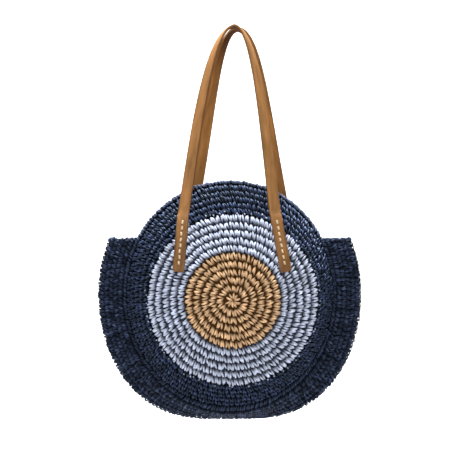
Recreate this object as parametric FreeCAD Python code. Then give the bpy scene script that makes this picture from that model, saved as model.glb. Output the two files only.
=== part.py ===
"""Round crocheted tote bag: two domed straw panels, a folded side gusset, a cloth lining and two leather handles.

Millimetres. +Z is up, +X is to the right and the front of the bag faces -Y.
The origin is the point that the bag hangs from: the underside of the two handle crowns, midway between them.
"""
import FreeCAD
import Part
import math
import os
from collections import namedtuple

# Panel: an upright oval of crochet, domed forward, whose rim lies closest to the mid plane at the sides
PANEL_HALF_WIDTH = 166.0
PANEL_HALF_HEIGHT = 176.0
HANDLE_DROP = 262.0
BELLY_DEPTH = 66.0
MIDDLE_DROP = 12.0
RIM_DEPTH_TOP = 30.0
RIM_DEPTH_SIDE = 16.0
RIM_DEPTH_BOTTOM = 42.0
CROCHET_WALL = 6.0
CENTRE_RADIUS = 75.0
MIDDLE_RADIUS = 135.0

# Joining round: the last round of yarn, which fastens each panel to the gusset and edges the mouth
JOINING_ROUND_DIAMETER = 5.8
YARN_CLEARANCE = 0.3

# Gusset: the side band, folded outwards along its middle, with its two ends standing up as ears
GUSSET_WALL = 5.5
GUSSET_REACH_SIDE = 48.0
GUSSET_REACH_BOTTOM = 20.0
GUSSET_BOTTOM_FLATNESS = 9
FOLD_ROUNDING = 0.2
EAR_HEIGHT = 90.0

# Handles: leather straps sewn flat to the panels at both ends and turned on edge at the crown
STRAP_WIDTH = 18.0
STRAP_THICKNESS = 4.0
STRAP_EDGE_BEVEL = 0.8
TAB_CORNER = 7.0
TAB_SPLAY = 11.5
TAB_FOOT_HEIGHT = 38.0
TAB_TOP_HEIGHT = 130.0
LEATHER_CLEARANCE = 0.3
STRAP_BEND_GAP = 1.3
SHOULDER_SHARE = 0.51
CROWN_SPREAD = 36.0
CROWN_GAP = 3.0

# How each handle hangs: half the gap between the tops of its sewn ends, the sideways shift of those ends and of its
# crown, and half the gap between its legs at the shoulders
Handle = namedtuple("Handle", "top_spread tab_shift crown_shift shoulder_spread")
FRONT_HANDLE = Handle(72.0, -1.0, 7.5, 53.0)
BACK_HANDLE = Handle(78.0, 12.5, 13.0, 49.0)

# Hand stitches that fasten the straps: one row along the middle of each sewn end
STITCH_COUNT = 8
STITCH_PITCH = 9.1
STITCH_LENGTH = 6.8
THREAD_DIAMETER = 1.6
THREAD_CLEARANCE = 0.3
STITCH_ROW_MARGIN = 11.0

# Inside: leather backing patches, cloth lining, slip pocket and magnetic snap
PATCH_THICKNESS = 1.2
PATCH_MARGIN = 4.0
CLOTH_CLEARANCE = 0.8
LINING_THICKNESS = 0.8
GUSSET_LINING_GAP = 1.2
GUSSET_LINING_SETBACK = 12.0
POCKET_WIDTH = 150.0
POCKET_HEIGHT = 120.0
POCKET_CORNER = 14.0
POCKET_TOP_HEIGHT = 62.0
POCKET_THICKNESS = 0.9
POCKET_CLEARANCE = 0.9
SNAP_DIAMETER = 18.0
SNAP_THICKNESS = 3.0
SNAP_STUD_DIAMETER = 6.5
SNAP_STUD_LENGTH = 2.2
SNAP_FIT = 0.4
SNAP_STANDOFF = 0.9
SNAP_BELOW_MOUTH = 32.0
WASHER_THICKNESS = 0.6

# Places that follow from the sizes above
PANEL_CENTRE_Z = -(HANDLE_DROP + PANEL_HALF_HEIGHT)
HANG_X = (FRONT_HANDLE.crown_shift + BACK_HANDLE.crown_shift) / 2
TAB_TOP_Z = PANEL_CENTRE_Z + TAB_TOP_HEIGHT
EAR_Z = PANEL_CENTRE_Z + EAR_HEIGHT
SEAM_WIDTH = JOINING_ROUND_DIAMETER + 2 * YARN_CLEARANCE
PATCH_OFFSET = CROCHET_WALL + CLOTH_CLEARANCE
LINING_OFFSET = PATCH_OFFSET + PATCH_THICKNESS + CLOTH_CLEARANCE
CROWN_DEPTH = (STRAP_WIDTH + CROWN_GAP) / 2
CROWN_Z = STRAP_THICKNESS / 2

# Rounds of crochet in a panel, counted outwards from its middle
CENTRE_ROUNDS = 6
MIDDLE_ROUNDS = 11
PANEL_ROUNDS = 16
BORDER_FOLDS = tuple(range(MIDDLE_ROUNDS, PANEL_ROUNDS + 1))
LINING_FOLDS = (CENTRE_ROUNDS, MIDDLE_ROUNDS, 12.5, 14, PANEL_ROUNDS)

# How finely the curved pieces are followed
ROUND_SECTIONS = 24
CLOTH_SIDES = 40
GUSSET_SECTIONS = 28
STRAP_SECTIONS = 12
STRIP_SECTIONS = 5
YARN_SIDES = 6
FOLD_SIDES = 3
TRIM = 2.0
FAR = 400.0

Vector = FreeCAD.Vector
BACKWARDS = Vector(0, 1, 0)
FORWARDS = Vector(0, -1, 0)
PANEL_CENTRE = Vector(0, 0, PANEL_CENTRE_Z)
LEFT = -1
RIGHT = 1


def rim_radius(angle):
    """Distance from the panel's centre to its rim in the direction angle, seen from the front."""
    return 1 / math.hypot(math.cos(angle) / PANEL_HALF_WIDTH, math.sin(angle) / PANEL_HALF_HEIGHT)


def rim_depth(angle):
    """How far the rim lies in front of the mid plane in the direction angle."""
    rise = rim_radius(angle) * math.sin(angle) / PANEL_HALF_HEIGHT
    lean = (RIM_DEPTH_TOP - RIM_DEPTH_BOTTOM) / 2
    bow = (RIM_DEPTH_TOP + RIM_DEPTH_BOTTOM) / 2 - RIM_DEPTH_SIDE
    return RIM_DEPTH_SIDE + lean * rise + bow * rise**2


def front_depth(x, z):
    """How far the front panel's outer surface stands in front of the mid plane at (x, z).

    The centre is flat, the middle ring slopes gently and the border bends back from it to the rim.
    """
    radius = math.hypot(x, z - PANEL_CENTRE_Z)
    slope = MIDDLE_DROP / (MIDDLE_RADIUS - CENTRE_RADIUS)
    if radius <= MIDDLE_RADIUS:
        return BELLY_DEPTH - slope * max(radius - CENTRE_RADIUS, 0)
    angle = math.atan2(z - PANEL_CENTRE_Z, x)
    out = radius - MIDDLE_RADIUS
    width = rim_radius(angle) - MIDDLE_RADIUS
    edge = BELLY_DEPTH - MIDDLE_DROP
    bend = (edge - slope * width - rim_depth(angle)) / width**2
    return edge - slope * out - bend * out**2


def front_normal(x, z):
    """Unit vector out of the front panel's outer surface at (x, z)."""
    step = 0.5
    slope_x = (front_depth(x + step, z) - front_depth(x - step, z)) / (2 * step)
    slope_z = (front_depth(x, z + step) - front_depth(x, z - step)) / (2 * step)
    return Vector(-slope_x, -1, -slope_z).normalize()


def ear_angle():
    """Direction in which the top of the right ear meets the panel's rim."""
    across = PANEL_HALF_WIDTH * math.sqrt(1 - (EAR_HEIGHT / PANEL_HALF_HEIGHT) ** 2)
    return math.atan2(EAR_HEIGHT, across)


def polar(angle, radius, y):
    """Point at a radius from the panel's centre, seen from the front, and at depth y."""
    return Vector(radius * math.cos(angle), y, PANEL_CENTRE_Z + radius * math.sin(angle))


def mirrored(shape):
    """The same shape on the back of the bag."""
    return shape.mirror(Vector(0, 0, 0), BACKWARDS)


def rail(points, closed):
    """A smooth edge through points, with the points evenly numbered so that neighbouring rails match."""
    numbers = list(range(len(points) + (1 if closed else 0)))
    curve = Part.BSplineCurve()
    curve.interpolate(Points=points, PeriodicFlag=closed, Parameters=numbers)
    return curve.toShape()


def solid_of(faces):
    """The solid that faces enclose."""
    shell = Part.makeShell(faces)
    shell.sewShape()
    solid = Part.makeSolid(shell)
    if solid.Volume < 0:
        solid.reverse()
    return solid


def flat_face(points):
    """The flat face with its corners at points."""
    return Part.Face(Part.makePolygon(points + points[:1]))


def swept(sections):
    """A solid along a run of sections, each a list of corners, with smooth rails from corner to corner."""
    rails = [rail(list(corners), False) for corners in zip(*sections)]
    faces = [Part.makeRuledSurface(rails[i - 1], rails[i]) for i in range(len(rails))]
    return solid_of(faces + [flat_face(sections[0]), flat_face(sections[-1])])


def creased(row, next_row):
    """Flat three-cornered faces between two closed rows of points, as in cloth."""
    faces = []
    for i in range(len(row)):
        faces.append(flat_face([row[i - 1], row[i], next_row[i]]))
        faces.append(flat_face([row[i - 1], next_row[i], next_row[i - 1]]))
    return faces


def round_point(count, angle, offset):
    """Point on a round of crochet, offset behind the front panel's outer surface."""
    if count <= CENTRE_ROUNDS:
        radius = CENTRE_RADIUS * count / CENTRE_ROUNDS
    elif count <= MIDDLE_ROUNDS:
        share = (count - CENTRE_ROUNDS) / (MIDDLE_ROUNDS - CENTRE_ROUNDS)
        radius = CENTRE_RADIUS + (MIDDLE_RADIUS - CENTRE_RADIUS) * share
    else:
        share = (count - MIDDLE_ROUNDS) / (PANEL_ROUNDS - MIDDLE_ROUNDS)
        radius = MIDDLE_RADIUS + (rim_radius(angle) - MIDDLE_RADIUS) * share
    x = radius * math.cos(angle)
    z = PANEL_CENTRE_Z + radius * math.sin(angle)
    return Vector(x, offset - front_depth(x, z), z)


def round_row(count, offset, sides):
    """Points spaced evenly along a round of crochet."""
    return [round_point(count, 2 * math.pi * i / sides, offset) for i in range(sides)]


def round_rail(count, offset):
    """Smooth closed line along a round of crochet: a circle, or a bent oval in the border."""
    if count <= MIDDLE_ROUNDS:
        return Part.Wire(Part.Vertex(round_point(count, 0, offset)).revolve(PANEL_CENTRE, FORWARDS, 360))
    return Part.Wire(rail(round_row(count, offset, ROUND_SECTIONS), True))


def round_band(count, offset, next_count, next_offset, smooth):
    """Faces between two rounds of crochet: turned or ruled if smooth, or else creased."""
    if not smooth:
        row = round_row(count, offset, CLOTH_SIDES)
        return creased(row, round_row(next_count, next_offset, CLOTH_SIDES))
    if max(count, next_count) <= MIDDLE_ROUNDS:
        line = Part.LineSegment(round_point(count, 0, offset), round_point(next_count, 0, next_offset))
        return line.toShape().revolve(PANEL_CENTRE, FORWARDS, 360).Faces
    return Part.makeRuledSurface(round_rail(count, offset), round_rail(next_count, next_offset)).Faces


def panel_zone(folds, offset, thickness, whole, smooth):
    """The part of a panel between its folds, which are counts of rounds: a ring, or with its middle if whole."""
    far = offset + thickness
    faces = round_band(folds[-1], offset, folds[-1], far, smooth)
    if whole and smooth:
        faces += [Part.Face(round_rail(folds[0], depth)) for depth in (offset, far)]
    elif whole:
        faces += [flat_face(round_row(folds[0], depth, CLOTH_SIDES)) for depth in (offset, far)]
    else:
        faces += round_band(folds[0], offset, folds[0], far, smooth)
    for i in range(len(folds) - 1):
        faces += round_band(folds[i], offset, folds[i + 1], offset, smooth)
        faces += round_band(folds[i], far, folds[i + 1], far, smooth)
    return solid_of(faces)


def panel_strip(start, end, width, offset, thickness, columns):
    """A strip from start to end that follows the front panel, offset behind its outer surface."""
    along = end - start
    across = Vector(along.z, 0, -along.x).normalize()
    sections = []
    for i in range(STRIP_SECTIONS + 1):
        near = []
        far = []
        for j in range(columns + 1):
            spot = start + along * (i / STRIP_SECTIONS) + across * (width * (j / columns - 0.5))
            depth = front_depth(spot.x, spot.z)
            near.append(Vector(spot.x, offset - depth, spot.z))
            far.append(Vector(spot.x, offset - depth + thickness, spot.z))
        sections.append(near + far[::-1])
    rails = [rail(list(corners), False) for corners in zip(*sections)]
    faces = [Part.makeRuledSurface(rails[i - 1], rails[i]) for i in range(len(rails))]
    for section in (sections[0], sections[-1]):
        for j in range(columns):
            quad = [section[j], section[j + 1], section[-2 - j], section[-1 - j]]
            faces.append(flat_face(quad))
    return solid_of(faces)


def through(wire):
    """A block with the outline of wire, right through the bag from front to back."""
    face = Part.Face(wire)
    face.translate(BACKWARDS * -FAR)
    return face.extrude(BACKWARDS * (2 * FAR))


def strip_block(start, end, width, corner):
    """A block through the bag with the outline of a rounded strip from start to end."""
    along = (end - start).normalize()
    across = Vector(along.z, 0, -along.x)
    half = width / 2
    length = (end - start).Length
    head = length - corner
    inner = half - corner
    cut = corner * (1 - math.sqrt(0.5))

    def at(u, v):
        return start + across * u + along * v

    edges = [
        Part.LineSegment(at(half, corner), at(half, head)),
        Part.Arc(at(half, head), at(half - cut, length - cut), at(inner, length)),
        Part.LineSegment(at(inner, length), at(-inner, length)),
        Part.Arc(at(-inner, length), at(cut - half, length - cut), at(-half, head)),
        Part.LineSegment(at(-half, head), at(-half, corner)),
        Part.Arc(at(-half, corner), at(cut - half, cut), at(-inner, 0)),
        Part.LineSegment(at(-inner, 0), at(inner, 0)),
        Part.Arc(at(inner, 0), at(half - cut, cut), at(half, corner)),
    ]
    return through(Part.Wire([edge.toShape() for edge in edges]))


def gusset_section(angle, inset, wall, setback):
    """Outline of the folded band in the direction angle: a V on its side with a rounded fold.

    The band lies inset behind the gusset's outer face, is wall thick and starts setback from the joining round.
    """
    half_gap = rim_depth(angle)
    sag = abs(math.sin(angle)) ** GUSSET_BOTTOM_FLATNESS
    reach = GUSSET_REACH_SIDE + (GUSSET_REACH_BOTTOM - GUSSET_REACH_SIDE) * sag
    fold = math.atan2(half_gap, reach)
    foot = rim_radius(angle) + SEAM_WIDTH + GUSSET_WALL * math.sin(fold)

    def leg(depth):
        start_r = foot - depth * math.sin(fold) + setback * math.cos(fold)
        start_y = -half_gap + depth * math.cos(fold) + setback * math.sin(fold)
        fold_r = start_r - start_y / math.tan(fold)
        bend = FOLD_ROUNDING * -start_y / math.sin(fold)
        middle_r = fold_r - bend / math.cos(fold)
        radius = bend * math.tan(fold)
        corners = [polar(angle, start_r, start_y)]
        for i in range(FOLD_SIDES + 1):
            turn = (math.pi / 2 - fold) * (2 * i / FOLD_SIDES - 1)
            corners.append(polar(angle, middle_r + radius * math.cos(turn), radius * math.sin(turn)))
        corners.append(polar(angle, start_r, -start_y))
        halves = [(corners[i] + corners[i + 1]) / 2 for i in (0, FOLD_SIDES + 1)]
        return corners[:1] + halves[:1] + corners[1:-1] + halves[1:] + corners[-1:]

    outer = leg(inset)
    inner = leg(inset + wall)
    return outer + inner[::-1]


def folded_band(inset, wall, setback, smooth):
    """The band round the lower part of the bag, cut level at the tops of its ears."""
    first = ear_angle() + math.radians(12)
    last = -math.pi - first
    sections = []
    for i in range(GUSSET_SECTIONS + 1):
        angle = first + (last - first) * i / GUSSET_SECTIONS
        sections.append(gusset_section(angle, inset, wall, setback))
    if smooth:
        band = swept(sections)
    else:
        faces = [flat_face(sections[0]), flat_face(sections[-1])]
        for corners, next_corners in zip(sections, sections[1:]):
            faces += creased(corners, next_corners)
        band = solid_of(faces)
    below_ears = Part.makeBox(2 * FAR, 2 * FAR, 2 * FAR, Vector(-FAR, -FAR, EAR_Z - 2 * FAR))
    return band.common(below_ears)


def yarn_round(first, last):
    """The joining round of the front panel between two directions."""
    sections = []
    for i in range(ROUND_SECTIONS + 1):
        angle = first + (last - first) * i / ROUND_SECTIONS
        radius = rim_radius(angle) + SEAM_WIDTH / 2
        depth = CROCHET_WALL / 2 - rim_depth(angle)
        corners = []
        for j in range(YARN_SIDES):
            turn = 2 * math.pi * j / YARN_SIDES
            reach = JOINING_ROUND_DIAMETER / 2 * math.cos(turn)
            corners.append(polar(angle, radius + reach, depth + JOINING_ROUND_DIAMETER / 2 * math.sin(turn)))
        sections.append(corners)
    return swept(sections)


def tab_line(side, handle):
    """Foot and top of the middle line of a strap's sewn end, seen from the front."""
    top_x = side * handle.top_spread + handle.tab_shift
    foot = Vector(top_x + side * TAB_SPLAY, 0, PANEL_CENTRE_Z + TAB_FOOT_HEIGHT)
    return foot, Vector(top_x, 0, TAB_TOP_Z)


def strap_tab(side, handle):
    """Sewn end of the front strap: lies on the panel, rounded at the foot and square at the top."""
    foot, top = tab_line(side, handle)
    up = (top - foot).normalize()
    width = STRAP_WIDTH + 2 * TRIM
    strip = panel_strip(foot - up * TRIM, top, width, -LEATHER_CLEARANCE - STRAP_THICKNESS, STRAP_THICKNESS, 2)
    return strip.common(strip_block(foot, top + up * 2 * TAB_CORNER, STRAP_WIDTH, TAB_CORNER))


def stitch_row(side, handle):
    """The visible stitches of one sewn end: slim six-sided bars lying on the leather."""
    foot, top = tab_line(side, handle)
    up = (top - foot).normalize()
    half = THREAD_DIAMETER / 2
    stitches = []
    for i in range(STITCH_COUNT):
        middle = foot + up * (STITCH_ROW_MARGIN + i * STITCH_PITCH + STITCH_LENGTH / 2)
        out = front_normal(middle.x, middle.z)
        seat = middle - BACKWARDS * (front_depth(middle.x, middle.z) + LEATHER_CLEARANCE + STRAP_THICKNESS)
        along = (up - out * up.dot(out)).normalize() * (STITCH_LENGTH / 2)
        across = out.cross(along).normalize() * half
        waist = along * (1 - THREAD_DIAMETER / STITCH_LENGTH)
        base = seat + out * THREAD_CLEARANCE
        corners = [base + along, base + waist + across, base - waist + across]
        corners += [base - along, base - waist - across, base + waist - across]
        stitches.append(flat_face(corners).extrude(out * half))
    return Part.makeCompound(stitches)


def backing_patch(side, handle):
    """Leather patch inside the panel that the stitches of one sewn end are pulled against."""
    foot, top = tab_line(side, handle)
    low = foot - (top - foot).normalize() * PATCH_MARGIN
    width = STRAP_WIDTH + 2 * PATCH_MARGIN
    return panel_strip(low, top, width, PATCH_OFFSET, PATCH_THICKNESS, 2)


def strap_section(share, side, handle):
    """Bevelled section of the front strap, share of the way from the top of one sewn end to the crown."""
    foot, top = tab_line(side, handle)
    normal = front_normal(top.x, TAB_TOP_Z)
    top_y = -front_depth(top.x, TAB_TOP_Z) - LEATHER_CLEARANCE - STRAP_THICKNESS / 2
    up = (top - foot).normalize()
    start = Vector(handle.top_spread, top_y, TAB_TOP_Z) + Vector(side * up.x, up.y, up.z) * STRAP_BEND_GAP
    shoulder_y = top_y + (-CROWN_DEPTH - top_y) * SHOULDER_SHARE
    shoulder = Vector(handle.shoulder_spread, shoulder_y, TAB_TOP_Z * (1 - SHOULDER_SHARE))
    bend = Vector(CROWN_SPREAD, -CROWN_DEPTH, CROWN_Z)
    crown = Vector(0, -CROWN_DEPTH, CROWN_Z)
    rest = 1 - share
    point = start * rest**3 + shoulder * (3 * rest**2 * share) + bend * (3 * rest * share**2) + crown * share**3
    ahead = (shoulder - start) * rest**2 + (bend - shoulder) * (2 * rest * share) + (crown - bend) * share**2
    ahead.normalize()
    outward = Vector(ahead.z, 0, -ahead.x).normalize()
    turn = share * math.pi / 2
    face = Vector(side * normal.x, normal.y, normal.z) * math.cos(turn) + outward * math.sin(turn)
    face = (face - ahead * face.dot(ahead)).normalize()
    across = ahead.cross(face)
    half = STRAP_WIDTH / 2
    thick = STRAP_THICKNESS / 2
    flat = half - STRAP_EDGE_BEVEL
    edge = thick - STRAP_EDGE_BEVEL
    outline = [(half, -edge), (half, edge), (flat, thick), (-flat, thick)]
    outline += [(-half, edge), (-half, -edge), (-flat, -thick), (flat, -thick)]
    shift = handle.tab_shift + (handle.crown_shift - handle.tab_shift) * share
    corners = []
    for u, v in outline:
        corner = point + across * u + face * v
        corners.append(Vector(side * corner.x + shift, corner.y, corner.z))
    return corners


def strap(handle):
    """The free part of the front strap, from one sewn end over the crown to the other."""
    sections = []
    for i in range(STRAP_SECTIONS):
        sections.append(strap_section(i / STRAP_SECTIONS, RIGHT, handle))
    for i in range(STRAP_SECTIONS + 1):
        sections.append(strap_section(1 - i / STRAP_SECTIONS, LEFT, handle))
    return Part.makeLoft([Part.makePolygon(corners + corners[:1]) for corners in sections], True, False)


def snap_half():
    """Inside face of the front lining where the snap sits, as a point and the direction into the bag."""
    z = PANEL_CENTRE_Z + PANEL_HALF_HEIGHT - SNAP_BELOW_MOUTH
    inwards = front_normal(0, z) * -1
    seat = Vector(0, LINING_OFFSET + LINING_THICKNESS - front_depth(0, z), z) + inwards * SNAP_STANDOFF
    return seat, inwards


def snap_stud():
    """Front half of the snap: a disc with a stud."""
    seat, inwards = snap_half()
    disc = Part.makeCylinder(SNAP_DIAMETER / 2, SNAP_THICKNESS, seat, inwards)
    stud_length = SNAP_THICKNESS + SNAP_STUD_LENGTH
    return disc.fuse(Part.makeCylinder(SNAP_STUD_DIAMETER / 2, stud_length, seat, inwards)).removeSplitter()


def snap_socket():
    """Back half of the snap: a disc with a hole for the stud."""
    seat, inwards = snap_half()
    disc = Part.makeCylinder(SNAP_DIAMETER / 2, SNAP_THICKNESS, seat, inwards)
    hole_base = seat + inwards * (SNAP_THICKNESS - SNAP_STUD_LENGTH - SNAP_FIT)
    hole = Part.makeCylinder(SNAP_STUD_DIAMETER / 2 + SNAP_FIT, SNAP_THICKNESS, hole_base, inwards)
    return mirrored(disc.cut(hole))


def snap_washer():
    """Plate behind the front lining that the snap's prongs are bent over."""
    seat, inwards = snap_half()
    behind = seat - inwards * (SNAP_STANDOFF + LINING_THICKNESS + CLOTH_CLEARANCE + WASHER_THICKNESS)
    return Part.makeCylinder(SNAP_DIAMETER / 2 - SNAP_FIT, WASHER_THICKNESS, behind, inwards)


def slip_pocket():
    """Cloth pocket sewn on the inside of the back lining."""
    top = Vector(0, 0, PANEL_CENTRE_Z + POCKET_TOP_HEIGHT)
    bottom = top - Vector(0, 0, POCKET_HEIGHT)
    offset = LINING_OFFSET + LINING_THICKNESS + POCKET_CLEARANCE
    spare = Vector(0, 0, TRIM)
    strip = panel_strip(bottom - spare, top + spare, POCKET_WIDTH + 2 * TRIM, offset, POCKET_THICKNESS, 4)
    return mirrored(strip.common(strip_block(bottom, top, POCKET_WIDTH, POCKET_CORNER)))


os.makedirs("parts", exist_ok=True)

# Crochet panels, one zone for each colour of yarn
centre_disc = panel_zone((CENTRE_ROUNDS,), 0, CROCHET_WALL, True, True)
middle_ring = panel_zone((CENTRE_ROUNDS, MIDDLE_ROUNDS), 0, CROCHET_WALL, False, True)
outer_ring = panel_zone(BORDER_FOLDS, 0, CROCHET_WALL, False, True)
nodes = {
    "front_centre_disc": centre_disc,
    "front_middle_ring": middle_ring,
    "front_outer_ring": outer_ring,
    "back_centre_disc": mirrored(centre_disc),
    "back_middle_ring": mirrored(middle_ring),
    "back_outer_ring": mirrored(outer_ring),
}

# Joining rounds below the ears and edging rounds along the mouth above them
joining_round = yarn_round(ear_angle(), -math.pi - ear_angle())
mouth_edging = yarn_round(ear_angle(), math.pi - ear_angle())
nodes["front_joining_round"] = joining_round
nodes["front_mouth_edging"] = mouth_edging
nodes["back_joining_round"] = mirrored(joining_round)
nodes["back_mouth_edging"] = mirrored(mouth_edging)

# Gusset
nodes["gusset_band"] = folded_band(0, GUSSET_WALL, 0, True)

# Handles with their sewn ends, stitches and backing patches
nodes["front_handle_strap"] = strap(FRONT_HANDLE)
nodes["back_handle_strap"] = mirrored(strap(BACK_HANDLE))
for name, side in (("left", LEFT), ("right", RIGHT)):
    nodes["front_" + name + "_tab"] = strap_tab(side, FRONT_HANDLE)
    nodes["front_" + name + "_stitches"] = stitch_row(side, FRONT_HANDLE)
    nodes["front_" + name + "_patch"] = backing_patch(side, FRONT_HANDLE)
    nodes["back_" + name + "_tab"] = mirrored(strap_tab(side, BACK_HANDLE))
    nodes["back_" + name + "_stitches"] = mirrored(stitch_row(side, BACK_HANDLE))
    nodes["back_" + name + "_patch"] = mirrored(backing_patch(side, BACK_HANDLE))

# Lining, pocket and snap
panel_lining = panel_zone(LINING_FOLDS, LINING_OFFSET, LINING_THICKNESS, True, False)
nodes["front_lining"] = panel_lining
nodes["back_lining"] = mirrored(panel_lining)
nodes["gusset_lining"] = folded_band(GUSSET_WALL + GUSSET_LINING_GAP, LINING_THICKNESS, GUSSET_LINING_SETBACK, False)
nodes["slip_pocket"] = slip_pocket()
nodes["snap_stud"] = snap_stud()
nodes["snap_socket"] = snap_socket()
nodes["front_snap_washer"] = snap_washer()
nodes["back_snap_washer"] = mirrored(snap_washer())

# The pieces are set out about the panels' middle, and are moved so that the crowns hang at the origin
for name, shape in nodes.items():
    shape = shape.translated(Vector(-HANG_X, 0, 0))
    shape.exportStep("parts/" + name + ".step")
    print(name, shape.isValid(), len(shape.Solids), round(shape.Volume / 1000, 2), "cm3")
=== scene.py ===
import math
from collections import namedtuple

import bpy
import numpy as np
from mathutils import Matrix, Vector


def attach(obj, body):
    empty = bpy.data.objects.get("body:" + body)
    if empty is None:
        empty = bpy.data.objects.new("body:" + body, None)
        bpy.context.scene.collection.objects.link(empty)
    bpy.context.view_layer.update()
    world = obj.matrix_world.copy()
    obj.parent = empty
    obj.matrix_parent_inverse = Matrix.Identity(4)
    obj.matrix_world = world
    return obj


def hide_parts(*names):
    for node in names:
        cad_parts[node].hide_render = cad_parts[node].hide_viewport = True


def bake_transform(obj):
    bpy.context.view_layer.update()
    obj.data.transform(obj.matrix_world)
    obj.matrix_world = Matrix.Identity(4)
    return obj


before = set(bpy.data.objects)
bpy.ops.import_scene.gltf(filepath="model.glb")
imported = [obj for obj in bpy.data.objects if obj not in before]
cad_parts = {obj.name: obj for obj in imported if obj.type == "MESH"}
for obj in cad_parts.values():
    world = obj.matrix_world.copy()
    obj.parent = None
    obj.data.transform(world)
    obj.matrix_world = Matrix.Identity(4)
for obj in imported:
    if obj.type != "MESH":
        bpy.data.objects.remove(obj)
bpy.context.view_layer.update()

# Natural straw centres, front and back: discs crocheted in rounds, a little off the panel's middle.
# The straw is undyed twisted paper; each stitch lies across its round as two strands in a narrow V.
# Strands are laid one by one over a core in painted shade, so the grooves between rounds and stitches are
# real.
PANEL_X = -0.01025
PANEL_Z = -0.438
PANEL_HALF_WIDTH = 0.166
PANEL_HALF_HEIGHT = 0.176
BELLY_DEPTH = 0.066
MIDDLE_DROP = 0.012
CENTRE_RADIUS = 0.075
MIDDLE_RADIUS = 0.135
RIM_DEPTH_TOP = 0.030
RIM_DEPTH_SIDE = 0.016
RIM_DEPTH_BOTTOM = 0.042
CROCHET_WALL = 0.006
CENTRE_ROUNDS = 6
MIDDLE_ROUNDS = 11
PANEL_ROUNDS = 16
ROUNDS_ASIDE = 0.0047
ROUNDS_DROP = 0.0065
CORE_HOLE = 0.02
CORE_DEPTH = 0.0050
CORE_SWELL = 0.0026
CORE_ROUNDNESS = 0.7
CORE_STEPS = 5
CENTRE_CORE_SIDES = 96
STRAND_PITCH = 0.0039
STRAND_STEPS = 7
STRAND_SIDES = 6
STRAND_ROOT = 0.08
STRAND_REACH = 0.89
STRAND_LEAN = 0.0029
STRAND_BOW = 0.0011
STRAND_SPREAD = 0.4
STRAND_HALF_WIDTH = 0.0016
STRAND_HALF_HEIGHT = 0.0013
STRAND_TAPER = 0.45
STRAND_CREST = 0.0053
STRAND_SINK = 0.0038
FIRST_ROOT = 0.04
LEAST_RADIUS = 0.006
STITCH_TONE = 0.45
STRAND_TONE = 0.5
# The share of strands brightened as a painted glint, and how much.
PAINTED_GLINT_SHARE = 0.15
PAINTED_GLINT_TONE = 2.0
CENTRE_SEED = 11
SIDES = {"front": 1, "back": -1}
PANEL_BODY = {"front": "front_panel", "back": "bag_back"}
FULL_TURN = np.linspace(0, 2 * np.pi, 721)


def rim_radius(angle):
    """Distance from the panel's middle to its rim."""
    return 1 / np.hypot(np.cos(angle) / PANEL_HALF_WIDTH, np.sin(angle) / PANEL_HALF_HEIGHT)


def rim_depth(angle):
    """How far the rim stands from the bag's mid plane: most at the bottom, least at the sides."""
    rise = rim_radius(angle) * np.sin(angle) / PANEL_HALF_HEIGHT
    tilt = (RIM_DEPTH_TOP - RIM_DEPTH_BOTTOM) / 2
    ends = (RIM_DEPTH_TOP + RIM_DEPTH_BOTTOM) / 2 - RIM_DEPTH_SIDE
    return RIM_DEPTH_SIDE + tilt * rise + ends * rise**2


def panel_depth(x, z):
    """How far the panel's outer surface stands from the bag's mid plane."""
    angle = np.arctan2(z - PANEL_Z, x - PANEL_X)
    radius = np.hypot(x - PANEL_X, z - PANEL_Z)
    slope = MIDDLE_DROP / (MIDDLE_RADIUS - CENTRE_RADIUS)
    width = rim_radius(angle) - MIDDLE_RADIUS
    bend = (BELLY_DEPTH - MIDDLE_DROP - slope * width - rim_depth(angle)) / width**2
    out = np.clip(radius - MIDDLE_RADIUS, 0, None)
    return BELLY_DEPTH - slope * np.clip(radius - CENTRE_RADIUS, 0, None) - bend * out**2


def unit(vectors):
    """The same directions, one long."""
    return vectors / np.linalg.norm(vectors, axis=-1, keepdims=True)


def panel_out(x, z):
    """Directions out of the front panel."""
    step = 0.001
    slope_x = (panel_depth(x + step, z) - panel_depth(x - step, z)) / (2 * step)
    slope_z = (panel_depth(x, z + step) - panel_depth(x, z - step)) / (2 * step)
    return unit(np.stack([-slope_x, -np.ones_like(slope_x), -slope_z], -1))


def round_radius(angle, count):
    """Distance from the middle of the rounds after a count of them."""
    plate = np.interp(count, [0, CENTRE_ROUNDS, MIDDLE_ROUNDS], [0, CENTRE_RADIUS, MIDDLE_RADIUS])
    share = (count - MIDDLE_ROUNDS) / (PANEL_ROUNDS - MIDDLE_ROUNDS)
    border = MIDDLE_RADIUS + (rim_radius(angle) - MIDDLE_RADIUS) * share
    return np.where(count <= MIDDLE_ROUNDS, plate, border)


def panel_points(angle, count, lift):
    """Points on the front panel, lifted off its surface, and the directions out of it there."""
    radius = round_radius(angle, count)
    off_middle = np.clip((PANEL_ROUNDS - count) / (PANEL_ROUNDS - MIDDLE_ROUNDS), 0, 1)
    x = PANEL_X + ROUNDS_ASIDE * off_middle + radius * np.cos(angle)
    z = PANEL_Z - ROUNDS_DROP * off_middle + radius * np.sin(angle)
    out = panel_out(x, z)
    return np.stack([x, -panel_depth(x, z), z], -1) + out * np.asarray(lift)[..., None], out


def travel(points):
    """Distance gone along a line of points at each of them."""
    return np.concatenate([[0], np.cumsum(np.linalg.norm(np.diff(points, axis=0), axis=1))])


def spaced(points, pitch):
    """How many strands fit along a line in pairs, each point's share of the line, and the pitch."""
    gone = travel(points)
    strands = 2 * max(5, round(gone[-1] / (2 * pitch)))
    return strands, gone / gone[-1], gone[-1] / strands


def straw_tones(strands, stitch_tone, chance):
    """Tones of strands in pairs: each stitch and strand differs a little, and a few are brightened as a
    painted glint.
    """
    stitch = np.repeat(chance.normal(0, stitch_tone, strands // 2), 2)
    # A few strands are brightened as a painted glint.
    painted_glint = PAINTED_GLINT_TONE * (chance.random(strands) < PAINTED_GLINT_SHARE)
    return stitch + painted_glint + chance.normal(0, STRAND_TONE, strands)


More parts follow.
